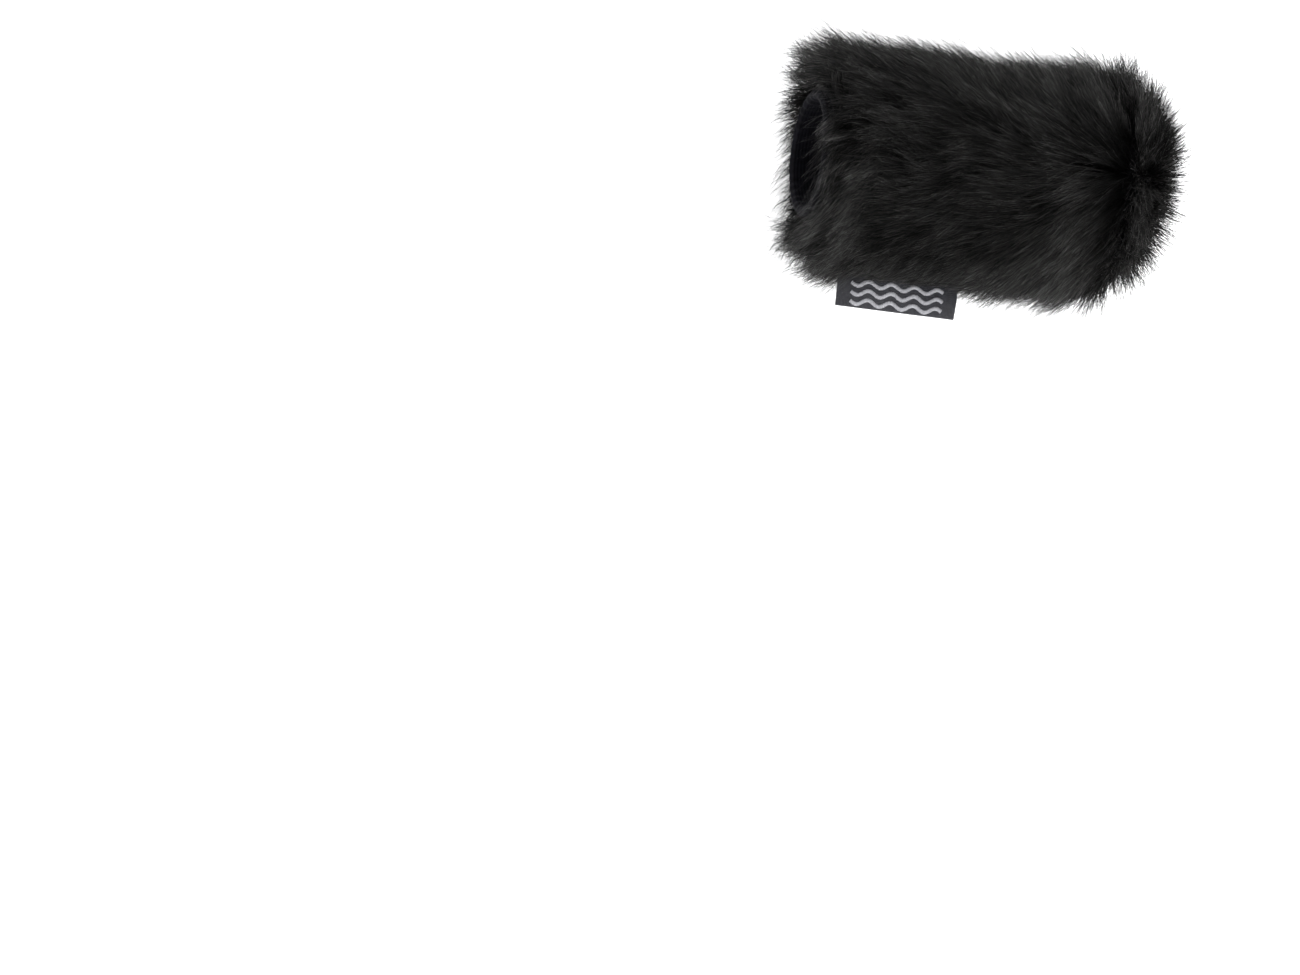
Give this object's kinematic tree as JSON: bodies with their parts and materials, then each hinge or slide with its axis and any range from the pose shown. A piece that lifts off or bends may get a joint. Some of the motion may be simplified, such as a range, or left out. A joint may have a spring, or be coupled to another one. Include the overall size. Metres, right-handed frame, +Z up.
{
  "type": "furry windscreen",
  "caption": "Long-pile fur windscreen with a foam core and an elastic mouth that slips over the head of a slim round microphone.",
  "frame": {"origin": "on the bore's axis, where the elastic cuff's straight wall starts, just inside the mouth", "axes": "+X along the bore from the mouth to the closed nose, +Z up as it lies on its side, -Y to the side that the sewn label stands out of"},
  "size_m": [0.0727, 0.051, 0.0464],
  "materials": {
    "fur": "long charcoal pile, soft sheen",
    "knit": "black knitted backing",
    "foam": "open-cell foam, matte",
    "lining": "thin smooth jersey",
    "tape": "folded ribbed tape, satin",
    "elastic": "woven elastic, matte",
    "thread": "twisted thread",
    "label_ribbon": "satin weave",
    "motif_thread": "satin stitch"
  },
  "bodies": {
    "windscreen": {"cuff_tape": "tape", "cuff_elastic": "elastic", "cuff_stitches": "thread", "lining_sock": "lining", "foam_sleeve": "foam", "foam_nose_plug": "foam", "tube_backing": "knit", "nose_backing": "knit", "side_seam_stitches": "thread", "nose_seam_stitches": "thread", "label_stitches": "thread", "tube_pile": "fur", "nose_pile": "fur"},
    "label_flap": {"label": "label_ribbon", "label_motif": "motif_thread"}
  },
  "joints": [
    {"name": "label_bend", "type": "hinge", "parent": "windscreen", "child": "label_flap", "pos_m": [0.0185, -0.01835, 0], "axis": [1, 0, 0], "range_deg": [-20, 20], "stiffness_Nm_per_rad": 0.0001}
  ]
}
